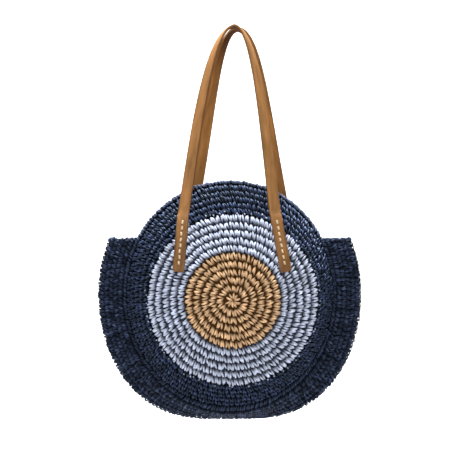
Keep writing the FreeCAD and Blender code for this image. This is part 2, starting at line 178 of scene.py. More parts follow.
def round_tubes(first, last, half_width, shade, chance):
    """Tubes of the strands in rounds first to last.

    A strand starts deep at its root, on the inner side of its round, and ends as a free tip.
    """
    laid = []
    along = np.linspace(0, 1, STRAND_STEPS)
    for count in range(first, last):
        strands, shares, pitch = spaced(panel_points(FULL_TURN, count + 0.5, 0)[0], STRAND_PITCH)
        pair = np.where(np.arange(strands) % 2, 1.0, -1.0)[:, None]
        place = (np.arange(strands) + 0.5 + chance.normal(0, 0.12, strands)) / strands
        angle = np.interp((place + chance.random()) % 1, shares, FULL_TURN)[:, None]
        reach = STRAND_REACH + chance.normal(0, 0.06, (strands, 1))
        root = STRAND_ROOT + chance.normal(0, 0.05, (strands, 1))
        counts = np.clip(count + root + reach * along, FIRST_ROOT, None)
        lean = STRAND_LEAN * (1 + pair * 0.1 + chance.normal(0, 0.25, (strands, 1)))
        bow = STRAND_BOW * chance.normal(0.3, 0.45, (strands, 1))
        spread = pair * pitch * STRAND_SPREAD * (along - 0.5)
        sideways = lean * (along - 0.5) + bow * np.sin(np.pi * along) + spread
        radius = np.clip(round_radius(angle, counts), LEAST_RADIUS, None)
        crest = STRAND_CREST * (1 + np.clip(chance.normal(0, 0.16, (strands, 1)), -0.25, 0.25))
        lift = crest * np.sin(np.pi * 0.86 * along**0.85) ** 0.8 - STRAND_SINK
        points, out = panel_points(angle + sideways / radius, counts, lift)
        drift = 0.5 * np.sin(3 * angle[:, 0] + 6 * chance.random()) * chance.random()
        laid.append((points, out, drift + straw_tones(strands, STITCH_TONE, chance)))
    laid = [np.concatenate(part) for part in zip(*laid)]
    return strand_tubes(*laid, half_width, STRAND_HALF_HEIGHT, shade, chance)


def tube_faces(tubes, steps, sides):
    """Side faces and end faces of tubes."""
    index = np.arange(tubes * steps * sides).reshape(tubes, steps, sides)
    turned = np.roll(index, -1, axis=2)
    quads = np.stack([index[:, :-1], index[:, 1:], turned[:, 1:], turned[:, :-1]], -1)
    return [quads.reshape(-1, 4), np.concatenate([index[:, 0], index[:, -1, ::-1]])]


def strand_tubes(lines, outs, tones, half_width, half_height, shade, chance):
    """Flattened tubes along strand lines: points, faces and the marks that the finish reads."""
    strands, steps, _ = lines.shape
    ahead = unit(np.gradient(lines, axis=1))
    across = unit(np.cross(ahead, outs))
    up = np.cross(across, ahead)
    turn = 2 * np.pi * np.arange(STRAND_SIDES) / STRAND_SIDES
    place = np.linspace(-1, 1, steps)
    taper = (1 - STRAND_TAPER * place**4)[:, None, None]
    plump = (1 + chance.normal(0, 0.1, strands))[:, None, None, None]
    ring = across[:, :, None] * (half_width * np.cos(turn))[:, None]
    ring = ring + up[:, :, None] * (half_height * np.sin(turn))[:, None]
    points = lines[:, :, None] + ring * taper * plump
    length = np.linalg.norm(np.diff(lines, axis=1), axis=2).sum(1).mean()
    mark = np.zeros(points.shape)
    mark[..., 0] = (length * place / 2)[:, None]
    mark[..., 1] = turn / (2 * np.pi)
    mark[..., 2] = chance.random(strands)[:, None, None]
    tone = np.broadcast_to(tones[:, None, None], points.shape[:3])
    # Each point's share of painted shade, which the straw finish reads.
    painted_shade = np.broadcast_to(shade(place)[:, None], points.shape[:3])
    marks = {"strand": mark.reshape(-1, 3), "tone": tone.ravel(), "painted_shade": painted_shade.ravel()}
    return points.reshape(-1, 3), tube_faces(strands, steps, STRAND_SIDES), marks


def root_shade(place):
    """Painted shade along a strand, from its root at -1 to its tip at 1: 1 is full painted shade, as at the
    bottom of a groove.
    """
    return np.clip(0.15 - 1.1 * place, 0, 1) ** 1.2 + 0.6 * np.clip(place, 0, 1) ** 3


def facing_out(points, faces):
    """The faces, turned round if they face inwards."""
    corners = points[faces]
    volume = 0
    for i in range(1, faces.shape[1] - 1):
        lean = np.cross(corners[:, i], corners[:, i + 1])
        volume += np.einsum("ij,ij->i", corners[:, 0], lean).sum()
    return faces if volume > 0 else faces[:, ::-1]


def ring_skin(front, back):
    """A closed skin over two grids of points whose rows go all round: points and blocks of faces."""
    rows = np.concatenate([front, back[::-1]])
    index = np.arange(rows[..., 0].size).reshape(rows.shape[:2])
    ahead = np.roll(index, -1, 0)
    quads = np.stack([index, np.roll(index, -1, 1), np.roll(ahead, -1, 1), ahead], -1).reshape(-1, 4)
    points = rows.reshape(-1, 3)
    return points, [facing_out(points, quads)]


def core_walls(first, last, around):
    """Front and back of the core under the strands: a swell under each round, grooves between."""
    counts = np.linspace(max(first, CORE_HOLE), last, CORE_STEPS * (last - first) + 1)
    angle, grid = np.meshgrid(np.linspace(0, 2 * np.pi, around, endpoint=False), counts)
    swell = CORE_SWELL * np.abs(np.sin(np.pi * grid)) ** CORE_ROUNDNESS - CORE_DEPTH
    return panel_points(angle, grid, swell)[0], panel_points(angle, grid, -CROCHET_WALL)[0]


def placed(name, data):
    """A new object in the scene."""
    thing = bpy.data.objects.new(name, data)
    bpy.context.scene.collection.objects.link(thing)
    return thing


def mesh_piece(name, points, blocks, finishes, marks, side):
    """A smooth mesh. Each block of faces has its finish's number, and marks are values at points."""
    mesh = bpy.data.meshes.new(name)
    points = points * np.array([1, SIDES[side], 1])
    faces = [face for block, _ in blocks for face in block[:, :: SIDES[side]].tolist()]
    mesh.from_pydata(points.tolist(), [], faces, shade_flat=False)
    finish = np.concatenate([np.full(len(block), number) for block, number in blocks])
    mesh.polygons.foreach_set("material_index", finish.astype(np.int32))
    mesh.validate()
    for mark, values in marks.items():
        kind, field = ("FLOAT_VECTOR", "vector") if values.ndim == 2 else ("FLOAT", "value")
        layer = mesh.attributes.new(mark, kind, "POINT")
        layer.data.foreach_set(field, values.astype(np.float32).ravel())
    for material in finishes:
        mesh.materials.append(material)
    return placed(name, mesh)


def crochet_piece(name, tubes, core, finishes, side):
    """One mesh of strands and the core under them."""
    points, blocks, marks = tubes
    core_points, core_blocks = core
    start = len(points)
    spare = len(core_points)
    blocks = [(block, 0) for block in blocks] + [(block + start, 1) for block in core_blocks]
    # The core under the strands is in full painted shade.
    core_marks = {"strand": np.zeros((spare, 3)), "tone": np.zeros(spare), "painted_shade": np.ones(spare)}
    marks = {key: np.concatenate([marks[key], core_marks[key]]) for key in marks}
    return mesh_piece(name, np.concatenate([points, core_points]), blocks, finishes, marks, side)


def link(source, target):
    """Joins an output to an input."""
    source.id_data.links.new(source, target)


def set_values(node, values):
    """Sets inputs of a node by their names."""
    for socket, value in values.items():
        node.inputs[socket].default_value = value


def feed(sockets, values):
    """Gives each input its value, or joins it to an output."""
    for socket, value in zip(sockets, values):
        if isinstance(value, (int, float, tuple)):
            socket.default_value = value
        else:
            link(value, socket)


def math_node(operation, first, second):
    """One step of arithmetic on an output and a value or output, as an output."""
    node = first.id_data.nodes.new("ShaderNodeMath")
    node.operation = operation
    feed(node.inputs, (first, second))
    return node.outputs[0]


def times(first, second):
    """One value times another, as an output."""
    return math_node("MULTIPLY", first, second)


def plus(first, second):
    """One value plus another, as an output."""
    return math_node("ADD", first, second)


def mixed(factor, first, second):
    """A mix of two colours, as an output."""
    node = factor.id_data.nodes.new("ShaderNodeMix")
    node.data_type = "RGBA"
    feed((node.inputs[0], node.inputs[6], node.inputs[7]), (factor, first, second))
    return node.outputs[2]


def brightened(colour, brightness):
    """A colour made brighter or darker, as an output."""
    node = colour.id_data.nodes.new("ShaderNodeHueSaturation")
    link(brightness, node.inputs["Value"])
    link(colour, node.inputs["Color"])
    return node.outputs[0]


def mark_of(tree, name, output="Fac"):
    """A mark on the mesh, as an output."""
    node = tree.nodes.new("ShaderNodeAttribute")
    node.attribute_name = name
    return node.outputs[output]


def noise_on(place, stretch, detail):
    """Noise over a stretched place, as an output from 0 to 1."""
    tree = place.id_data
    scale = tree.nodes.new("ShaderNodeVectorMath")
    scale.operation = "MULTIPLY"
    scale.inputs[1].default_value = stretch
    link(place, scale.inputs[0])
    node = tree.nodes.new("ShaderNodeTexNoise")
    set_values(node, {"Scale": 1, "Detail": detail})
    link(scale.outputs[0], node.inputs["Vector"])
    return node.outputs[0]


def object_place(tree):
    """The place on the piece, as an output."""
    return tree.nodes.new("ShaderNodeTexCoord").outputs["Object"]


def new_group(name, inputs):
    """An empty shader group that gives colour, roughness and height, with the values given to it."""
    group = bpy.data.node_groups.new(name, "ShaderNodeTree")
    for socket, value in inputs.items():
        kind = "NodeSocketColor" if isinstance(value, tuple) else "NodeSocketFloat"
        group.interface.new_socket(socket, in_out="INPUT", socket_type=kind).default_value = value
    outputs = {"Colour": "NodeSocketColor", "Roughness": "NodeSocketFloat", "Height": "NodeSocketFloat"}
    for socket, kind in outputs.items():
        group.interface.new_socket(socket, in_out="OUTPUT", socket_type=kind)
    return group, group.nodes.new("NodeGroupInput").outputs


def straw_look():
    """Twisted straw: streaks along each strand, uneven tones, and painted shade where a strand lies deep.
    """
    colours = {"Straw": (0.5, 0.5, 0.5, 1), "Shade": (0.1, 0.1, 0.1, 1)}
    tree, given = new_group("twisted straw", {**colours, "Streak": 0.5, "Uneven": 0.15, "Matt": 0.4})
    place = mark_of(tree, "strand", "Vector")
    streaks = noise_on(place, (90.0, 7.0, 60.0), 3.0)
    blotches = noise_on(place, (260.0, 2.0, 90.0), 2.0)
    height = plus(streaks, blotches)
    swing = times(plus(height, -1.0), given["Streak"])
    swing = plus(swing, times(mark_of(tree, "tone"), given["Uneven"]))
    brightness = math_node("MAXIMUM", plus(swing, 1.0), 0.25)
    # Painted shade darkens the strand towards its shade colour and also raises its roughness.
    painted_groove_shade = times(mark_of(tree, "painted_shade"), 0.88)
    colour = mixed(painted_groove_shade, brightened(given["Straw"], brightness), given["Shade"])
    roughness = plus(times(streaks, 0.3), given["Matt"])
    roughness = plus(roughness, times(painted_groove_shade, 0.4))
    feed(tree.nodes.new("NodeGroupOutput").inputs, (colour, roughness, height))
    return tree


def plain_shader(name):
    """A new material, its tree and its shader."""
    material = bpy.data.materials.new(name)
    material.use_nodes = True
    return material, material.node_tree, material.node_tree.nodes["Principled BSDF"]


def raised(shader, height, strength, distance):
    """Bump from a height."""
    bump = height.id_data.nodes.new("ShaderNodeBump")
    set_values(bump, {"Strength": strength, "Distance": distance})
    link(height, bump.inputs["Height"])
    link(bump.outputs[0], shader.inputs["Normal"])


def group_finish(name, group, given, values, bump):
    """A finish with its colour, roughness and height from a group; bump is its strength and depth."""
    material, tree, shader = plain_shader(name)
    node = tree.nodes.new("ShaderNodeGroup")
    node.node_tree = group
    set_values(node, given)
    link(node.outputs["Colour"], shader.inputs["Base Color"])
    link(node.outputs["Roughness"], shader.inputs["Roughness"])
    set_values(shader, values)
    raised(shader, node.outputs["Height"], *bump)
    return material


def straw_finish(name, straw, shade, streak, uneven, sheen, matt, glint=(1, 1, 1, 1)):
    """The finish of strands of one colour of straw."""
    given = {"Straw": straw, "Shade": shade, "Streak": streak, "Uneven": uneven, "Matt": matt}
    values = {"Specular IOR Level": sheen, "Specular Tint": glint}
    return group_finish(name, twisted_straw, given, values, (0.5, 0.0006))


def mottled_finish(name, first, second, grain, detail, values, bump):
    """A finish of two colours mottled at one grain."""
    material, tree, shader = plain_shader(name)
    mottle = noise_on(object_place(tree), (grain, grain, grain), detail)
    link(mixed(mottle, first, second), shader.inputs["Base Color"])
    set_values(shader, values)
    raised(shader, mottle, *bump)
    return material


def painted_shade_core_finish(name, dark, light):
    """The finish of the core at the bottom of the grooves: straw darkened as painted shade."""
    values = {"Roughness": 0.85, "Specular IOR Level": 0.15}
    return mottled_finish(name, dark, light, 420.0, 2.0, values, (0.4, 0.0005))


twisted_straw = straw_look()
NATURAL_STRAW = (0.745, 0.485, 0.27, 1)
NATURAL_SHADE = (0.10, 0.045, 0.012, 1)
natural_finishes = [
    straw_finish(
        "natural straw", NATURAL_STRAW, NATURAL_SHADE, streak=0.8, uneven=0.15, sheen=0.35, matt=0.42
    ),
    painted_shade_core_finish("natural straw painted shade core", dark=(0.045, 0.017, 0.003, 1), light=(0.13, 0.055, 0.012, 1)),
]
for seed, side in enumerate(SIDES):
    chance = np.random.default_rng(CENTRE_SEED + seed)
    tubes = round_tubes(0, CENTRE_ROUNDS, STRAND_HALF_WIDTH, root_shade, chance)
    core = ring_skin(*core_walls(0, CENTRE_ROUNDS, CENTRE_CORE_SIDES))
    centre = crochet_piece(side + "_centre", tubes, core, natural_finishes, side)
    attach(centre, PANEL_BODY[side])
    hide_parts(side + "_centre_disc")

# Pale blue rounds, front and back: the same crochet carried on round the natural centres.
# Pale blue paper straw; loops of its last round show between the roots of the first navy round.
# Worked into the centre's last round, so the strands of the two colours interlock at the seam.
PEEK_PITCH = 0.0062
PEEK_SHARE = 0.6
PEEK_START = 0.2
PEEK_LENGTH = 0.25
PEEK_CREST = 0.0034
PEEK_SINK = 0.0022
PEEK_HALF_WIDTH = 0.0010
PEEK_HALF_HEIGHT = 0.0009
MIDDLE_CORE_SIDES = 144
MIDDLE_SEED = 21


def peeking_loops(count, chance):
    """Tubes of the last round's loops, which show between the next round's stitches."""
    places, shares, _ = spaced(panel_points(FULL_TURN, count + PEEK_START, 0)[0], PEEK_PITCH)
    place = (np.arange(places) + 0.5 + chance.normal(0, 0.25, places)) / places
    place = place[chance.random(places) < PEEK_SHARE]
    strands = len(place)
    angle = np.interp(place, shares, FULL_TURN)[:, None]
    along = np.linspace(0, 1, STRAND_STEPS)
    length = np.clip(chance.normal(PEEK_LENGTH, 0.1, (strands, 1)), 0.12, 0.5)
    start = np.clip(chance.normal(PEEK_START, 0.2, (strands, 1)), 0.0, 0.7)
    lift = PEEK_CREST * np.sin(np.pi * (0.1 + 0.8 * along)) - PEEK_SINK
    sideways = chance.normal(0.008, 0.012, (strands, 1)) * (along - 0.5)
    points, out = panel_points(angle + sideways, count + start + length * along, lift)
    tones = chance.normal(0.3, 0.5, strands)
    return strand_tubes(points, out, tones, PEEK_HALF_WIDTH, PEEK_HALF_HEIGHT, root_shade, chance)


def joined(first, second):
    """Two sets of tubes as one."""
    start = len(first[0])
    blocks = first[1] + [block + start for block in second[1]]
    marks = {key: np.concatenate([first[2][key], second[2][key]]) for key in first[2]}
    return np.concatenate([first[0], second[0]]), blocks, marks


PALE_STRAW = (0.62, 0.68, 0.845, 1)
PALE_SHADE = (0.045, 0.054, 0.082, 1)
pale_finishes = [
    straw_finish(
        "pale blue straw", PALE_STRAW, PALE_SHADE, streak=0.65, uneven=0.12, sheen=0.35, matt=0.42
    ),
    painted_shade_core_finish("pale blue straw painted shade core", dark=(0.016, 0.021, 0.036, 1), light=(0.07, 0.085, 0.125, 1)),
]
for seed, side in enumerate(SIDES):
    chance = np.random.default_rng(MIDDLE_SEED + seed)
    tubes = round_tubes(CENTRE_ROUNDS, MIDDLE_ROUNDS, STRAND_HALF_WIDTH, root_shade, chance)
    tubes = joined(tubes, peeking_loops(MIDDLE_ROUNDS, chance))
    core = ring_skin(*core_walls(CENTRE_ROUNDS, MIDDLE_ROUNDS, MIDDLE_CORE_SIDES))
    middle = crochet_piece(side + "_pale_rounds", tubes, core, pale_finishes, side)
    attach(middle, PANEL_BODY[side])
    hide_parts(side + "_middle_ring")

# Navy rounds, front and back: the border of each panel, which bends back to the rim.
# Navy paper straw with a bluish sheen; the light on the strands' crests is partly sheen and partly a
# painted highlight.
# Worked on from the pale blue rounds; the last round is sewn to the gusset or edges the mouth.
SEAM_WIDTH = 0.0064
SEAM_HALF_CORE = np.array([0, 0.0015, 0])
BORDER_CORE_SIDES = 180
BORDER_SEED = 31
NAVY_HALF_WIDTH = 0.00135


def away_from_middle(angle):
    """Directions away from the panel's middle, level with it."""
    return np.stack([np.cos(angle), 0 * angle, np.sin(angle)], -1)


def rim_line(angle):
    """Middle of the round over the front panel's rim, and directions away from the panel's middle."""
    radius = rim_radius(angle) + SEAM_WIDTH / 2
    away = away_from_middle(angle)
    middle = np.array([PANEL_X, 0, PANEL_Z]) + away * radius[..., None]
    middle[..., 1] = CROCHET_WALL / 2 - rim_depth(angle)
    return middle, away


def border_core():
    """The core under the navy rounds, carried on into the round over the rim to keep out light."""
    front, back = core_walls(MIDDLE_ROUNDS, PANEL_ROUNDS, BORDER_CORE_SIDES)
    seam = rim_line(np.linspace(0, 2 * np.pi, BORDER_CORE_SIDES, endpoint=False))[0][None]
    return ring_skin(
        np.concatenate([front, seam - SEAM_HALF_CORE]), np.concatenate([back, seam + SEAM_HALF_CORE])
    )


def crest_shade(place):
    """Painted shade along a navy strand, leaving only its crest bright as a painted highlight."""
    return 1 - np.exp(-(((place - 0.05) / 0.45) ** 2))


# The navy is bright enough to stand as a painted highlight on the strands' crests.
NAVY_STRAW = (0.021, 0.032, 0.074, 1)
NAVY_SHADE = (0.0006, 0.0016, 0.0055, 1)
NAVY_GLINT = (0.50, 0.68, 1.0, 1)
navy_painted_shade_core = painted_shade_core_finish("navy straw painted shade core", dark=(0.0005, 0.001, 0.003, 1), light=(0.002, 0.0035, 0.009, 1))


def navy_finishes(name, straw, uneven, sheen, matt):
    """The finishes of navy strands and of the core under them."""
    strands = straw_finish(name, straw, NAVY_SHADE, 1.2, uneven, sheen, matt, NAVY_GLINT)
    return [strands, navy_painted_shade_core]


border_finishes = navy_finishes("navy straw", NAVY_STRAW, uneven=0.7, sheen=0.9, matt=0.25)
for seed, side in enumerate(SIDES):
    chance = np.random.default_rng(BORDER_SEED + seed)
    tubes = round_tubes(MIDDLE_ROUNDS, PANEL_ROUNDS, NAVY_HALF_WIDTH, crest_shade, chance)
    border = crochet_piece(side + "_navy_rounds", tubes, border_core(), border_finishes, side)
    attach(border, PANEL_BODY[side])
    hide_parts(side + "_outer_ring")

# Joining rounds and mouth edging: one more round of navy straw over each panel's rim, on a round core.
# Below the ears it joins the panel, its strands reaching over to the gusset; above, it binds the mouth.
# Slanting strands are wrapped over the core: steep along the seam, long and lumpy along the mouth.
EAR_Z = -0.348
EDGING_RADIUS = 0.0024
EDGING_CORE = 0.95 * EDGING_RADIUS
EDGING_CORE_STEPS = 121
EDGING_CORE_SIDES = 8
WRAP_START = 2.3
WRAP_HALF_WIDTH = 0.36
RIM_SEED = 41
ear_rise = EAR_Z - PANEL_Z
EAR_ANGLE = math.atan2(ear_rise, PANEL_HALF_WIDTH * math.sqrt(1 - (ear_rise / PANEL_HALF_HEIGHT) ** 2))
FORWARDS = np.array([0, -1.0, 0])


def end_shade(place):
    """Painted shade along a strand, deepest at both its ends, which are tucked under."""
    return np.abs(place) ** 2.2


def wrapped_rim(chance, ends, pitch, slant, finish_turn, height, loose, bridge, brightness, shade):
    """Tubes of strands wrapped over the rim between two directions."""
    run = np.linspace(*ends, 361)
    strands, shares, pitch = spaced(rim_line(run)[0], pitch)
    along = np.linspace(0, 1, STRAND_STEPS)
    place = np.arange(strands)[:, None] + 0.5 + chance.normal(0, 0.15, (strands, 1))
    lean = slant * (1 + chance.normal(0, 0.25, (strands, 1)))
    angle = np.interp(np.clip((place + lean / pitch * (along - 0.4)) / strands, 0, 1), shares, run)
    middle, away = rim_line(angle)
    turn = WRAP_START + (finish_turn - WRAP_START) * along + chance.normal(0, 0.15, (strands, 1))
    height = EDGING_RADIUS * (height + loose * np.sin(np.pi * along))
    height = height * (1 + chance.normal(0, 0.14, (strands, 1)))
    height = height + bridge * along**2 * np.where(np.sin(angle) < 0, np.sin(angle) ** 4, 0)
    outs = away * np.cos(turn)[..., None] + FORWARDS * np.sin(turn)[..., None]
    lines = middle + outs * height[..., None]
    tones = chance.normal(brightness, 0.6, strands)
    return strand_tubes(lines, outs, tones, WRAP_HALF_WIDTH * pitch, STRAND_HALF_HEIGHT, shade, chance)


def sleeve(rows):
    """A sleeve over rows of points that go round it: points, side faces and the points' numbers."""
    index = np.arange(rows[..., 0].size).reshape(rows.shape[:2])
    turned = np.roll(index, -1, 1)
    quads = np.stack([index[:-1], turned[:-1], turned[1:], index[1:]], -1).reshape(-1, 4)
    return rows.reshape(-1, 3), quads, index


def capped_sleeve(rows):
    """A sleeve with a flat cap on both ends: points and blocks of faces."""
    points, quads, index = sleeve(rows)
    caps = np.stack([index[0, ::-1], index[-1]])
    faces = facing_out(points, quads)
    return points, [faces, caps if faces is quads else caps[:, ::-1]]


def rim_core(ends):
    """The round core inside the wrapped strands."""
    middle, away = rim_line(np.linspace(*ends, EDGING_CORE_STEPS))
    turn = 2 * np.pi * np.arange(EDGING_CORE_SIDES) / EDGING_CORE_SIDES
    circle = away[:, None] * np.cos(turn)[:, None] + FORWARDS * np.sin(turn)[:, None]
    return capped_sleeve(middle[:, None] + circle * EDGING_CORE)


# The edging is the navy straw painted lighter, as painted light falling from above on the mouth.
EDGING_STRAW_PAINTED_LIGHTER = (0.080, 0.100, 0.160, 1)
edging_finishes = navy_finishes("navy edging straw painted lighter", EDGING_STRAW_PAINTED_LIGHTER, uneven=0.5, sheen=0.5, matt=0.3)
RIM_FINISHES = {"joining_round": border_finishes, "mouth_edging": edging_finishes}
RIM_ENDS = {
    "joining_round": (EAR_ANGLE, -math.pi - EAR_ANGLE),
    "mouth_edging": (EAR_ANGLE, math.pi - EAR_ANGLE),
}
RIM_WRAPS = {
    "joining_round": {
        "pitch": 0.0036, "slant": 0.0042, "finish_turn": -0.5, "height": 1.5, "loose": 0.0,
        "bridge": 0.003, "brightness": -0.2, "shade": crest_shade,
    },
    # The mouth edging's strands are brightened as painted light from above.
    "mouth_edging": {
        "pitch": 0.0052, "slant": 0.0090, "finish_turn": -1.9, "height": 0.7, "loose": 0.85,
        "bridge": 0.0, "brightness": 0.6, "shade": end_shade,
    },
}
for seed, side in enumerate(SIDES):
    for number, (run_name, ends) in enumerate(RIM_ENDS.items()):
        chance = np.random.default_rng(RIM_SEED + 2 * seed + number)
        tubes = wrapped_rim(chance, ends, **RIM_WRAPS[run_name])
        rim_name = side + "_" + run_name
        rim = crochet_piece(rim_name + "_straw", tubes, rim_core(ends), RIM_FINISHES[run_name], side)
        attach(rim, PANEL_BODY[side])
        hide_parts(rim_name)

# Gusset band: the crocheted strip round the sides and bottom that gives the bag its depth.
# Navy straw in finer rows along the band; folded outwards, so its ends stand up as two ears.
# It is joined to both panels.
GUSSET_WALL = 0.0055
GUSSET_REACH_SIDE = 0.048
GUSSET_REACH_BOTTOM = 0.020
GUSSET_BOTTOM_FLATNESS = 9
GUSSET_FULLNESS = 0.003
FOLD_ROUNDING = 0.2
GUSSET_ROWS = 11
GUSSET_PITCH = 0.0037
GUSSET_RADIUS = 0.2
ROW_TOP = EAR_Z - 0.003
ROW_CROWN = 0.0034
ROW_SINK = 0.0022
ROW_LEAN = 0.0013
ROW_REACH = 0.53
ROW_HALF_WIDTH = 0.0014
ROW_HALF_HEIGHT = 0.0011
ROW_TONE = 0.4
KNOT_SWEEP = 1.75
EAR_LOOPS = 19
EAR_LOOP_TOP = EAR_Z - 0.0035
EAR_LOOP_SINK = 0.002
EAR_LOOP_RADIUS = 0.0031
EAR_LOOP_SWEEP = math.radians(120)
EAR_LOOP_LEAN = 0.0012
EAR_LOOP_HALF_WIDTH = 0.0021
BAND_STEPS = 181
BAND_TOP = 0.0016
BAND_FOOT = 0.0042
BAND_EDGE = 0.03
BAND_EDGE_DEPTH = 0.0045
GUSSET_SEED = 51


def gusset_points(angle, share, lift, inset=0, setback=0):
    """Points across the folded band, from front edge at 0 to back edge at 1, and directions out."""
    half_gap = rim_depth(angle)
    sag = np.abs(np.sin(angle)) ** GUSSET_BOTTOM_FLATNESS
    reach = GUSSET_REACH_SIDE + (GUSSET_REACH_BOTTOM - GUSSET_REACH_SIDE) * sag
    reach = reach + GUSSET_FULLNESS * np.where(np.sin(angle) < 0, np.sin(2 * angle) ** 2, 0)
    fold = np.arctan2(half_gap, reach)
    foot = rim_radius(angle) + SEAM_WIDTH + GUSSET_WALL * np.sin(fold)
    start_r = foot - inset * np.sin(fold) + setback * np.cos(fold)
    start_y = half_gap - inset * np.cos(fold) - setback * np.sin(fold)
    bend = FOLD_ROUNDING * start_y / np.sin(fold)
    fold_radius = bend * np.tan(fold)
    middle_r = start_r + start_y / np.tan(fold) - bend / np.cos(fold)
    leg = start_y / np.sin(fold) - bend
    arc = fold_radius * (np.pi - 2 * fold)
    gone = share * (2 * leg + arc)
    from_edge = np.minimum(gone, 2 * leg + arc - gone)
    half = np.where(gone > leg + arc / 2, 1.0, -1.0)
    turn = np.clip((gone - leg) / fold_radius, 0, np.pi - 2 * fold) - (np.pi / 2 - fold)
    on_leg = from_edge < leg
    radius = np.where(on_leg, start_r + from_edge * np.cos(fold), middle_r + fold_radius * np.cos(turn))
    y = np.where(on_leg, half * (start_y - from_edge * np.sin(fold)), fold_radius * np.sin(turn))
    out_r = np.where(on_leg, np.sin(fold), np.cos(turn))
    away = away_from_middle(angle)
    out = away * out_r[..., None]
    out[..., 1] = np.where(on_leg, half * np.cos(fold), np.sin(turn))
    points = np.array([PANEL_X, 0, PANEL_Z]) + away * radius[..., None]
    points[..., 1] = y
    return points + out * np.asarray(lift)[..., None], out


def ear_end(share, top, inset=0, setback=0):
    """Direction in which the band reaches the level top of the right ear."""
    low = np.full(np.shape(share), -0.2)
    high = np.full(np.shape(share), EAR_ANGLE + 0.3)
    for _ in range(40):
        middle = (low + high) / 2
        z = gusset_points(middle, share, 0, inset, setback)[0][..., 2]
        low = np.where(z < top, middle, low)
        high = np.where(z < top, high, middle)
    return low


def gusset_strands(chance):
    """Strands of the band's rows, from the top of the right ear round the bottom to the left ear."""
    laid = []
    sweep = np.linspace(-KNOT_SWEEP, KNOT_SWEEP, STRAND_STEPS - 1)
    for row in range(GUSSET_ROWS):
        centre = (row + 0.5) / GUSSET_ROWS
        top = float(ear_end(centre, ROW_TOP))
        run = np.linspace(top, -math.pi - top, 721)
        strands, shares, pitch = spaced(gusset_points(run, centre, 0)[0], GUSSET_PITCH)
        place = (np.arange(strands) + 0.5 + chance.normal(0, 0.13, strands)) / strands
        angle = np.interp(place, shares, run)[:, None]
        reach = (ROW_REACH + chance.normal(0, 0.04, (strands, 1))) / GUSSET_ROWS
        share = np.clip(centre + reach * np.sin(sweep), 0.002, 0.998)
        pair = np.where(np.arange(strands) % 2, 1.0, -1.0)[:, None]
        slope = 1.0 if row % 2 else -1.0
        lean = slope * ROW_LEAN + chance.normal(0, 0.0005, (strands, 1))
        sideways = lean * np.sin(sweep) + pair * pitch * (0.2 * slope * np.sin(sweep) - 0.08)
        crown = ROW_CROWN * (1 + chance.normal(0, 0.13, (strands, 1)))
        lift = crown * np.cos(sweep) - ROW_SINK
        points, out = gusset_points(angle + sideways / GUSSET_RADIUS, share, lift)
        laid.append((points, out, straw_tones(strands, ROW_TONE, chance)))
    return [np.concatenate(part) for part in zip(*laid)]


def strip_skin(front, back):
    """A closed skin over two grids of points with edges on all sides: points and blocks of faces."""
    points, quads, index = sleeve(np.concatenate([front, back[:, ::-1]], axis=1))
    rungs = []
    for end, order in ((index[0], -1), (index[-1], 1)):
        for i in range(front.shape[1] - 1):
            rungs.append([end[i], end[i + 1], end[-2 - i], end[-1 - i]][::order])
    return points, [facing_out(points, np.concatenate([quads, rungs]))]


def band_skin(shares, front_lift, back_lift, top, inset=0, setback=0):
    """A skin along the band between two heights, closed at the ears."""
    ends = ear_end(shares, top, inset, setback)
    run = np.linspace(0, 1, BAND_STEPS)[:, None]
    angle = ends * (1 - run) + (-math.pi - ends) * run
    front = gusset_points(angle, shares, front_lift, inset, setback)[0]
    return strip_skin(front, gusset_points(angle, shares, back_lift, inset, setback)[0])


def ear_strands(chance):
    """Strands that bind the level tops of the two ears."""
    lines = []
    outs = []
    wrap = np.linspace(-EAR_LOOP_SWEEP, EAR_LOOP_SWEEP, STRAND_STEPS)
    shares = (np.arange(EAR_LOOPS) + 0.5) / EAR_LOOPS + chance.normal(0, 0.006, EAR_LOOPS)
    right = ear_end(shares, EAR_LOOP_TOP)
    for angle in (right, -math.pi - right):
        edge, out = gusset_points(angle, shares, -EAR_LOOP_SINK)
        lean = chance.normal(EAR_LOOP_LEAN, 0.0004, EAR_LOOPS)
        level = np.stack([-out[:, 1], out[:, 0], 0 * lean], -1) * lean[:, None]
        ring = out[:, None] * np.sin(wrap)[:, None] + np.array([0, 0, 1.0]) * np.cos(wrap)[:, None]
        lump = EAR_LOOP_RADIUS * (1 + chance.normal(0, 0.3, EAR_LOOPS))[:, None, None]
        lines.append(edge[:, None] + ring * lump + level[:, None] * np.sin(wrap)[:, None])
        outs.append(ring)
    return np.concatenate(lines), np.concatenate(outs), chance.normal(0.2, 0.7, 2 * EAR_LOOPS)


GUSSET_STRAW = (0.026, 0.036, 0.068, 1)
gusset_finishes = navy_finishes("navy gusset straw", GUSSET_STRAW, uneven=0.7, sheen=0.22, matt=0.36)
chance = np.random.default_rng(GUSSET_SEED)
rows = gusset_strands(chance)
loops = ear_strands(chance)
row_tubes = strand_tubes(*rows, ROW_HALF_WIDTH, ROW_HALF_HEIGHT, crest_shade, chance)
loop_tubes = strand_tubes(*loops, EAR_LOOP_HALF_WIDTH, STRAND_HALF_HEIGHT, end_shade, chance)
band_shares = np.linspace(0, 1, 41)
band_edge = np.clip(1 - np.minimum(band_shares, 1 - band_shares) / BAND_EDGE, 0, 1)
band_core = band_skin(band_shares, -BAND_TOP, -BAND_FOOT - BAND_EDGE_DEPTH * band_edge, ROW_TOP)
gusset = crochet_piece("gusset_straw", joined(row_tubes, loop_tubes), band_core, gusset_finishes, "front")
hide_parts("gusset_band")
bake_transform(gusset)

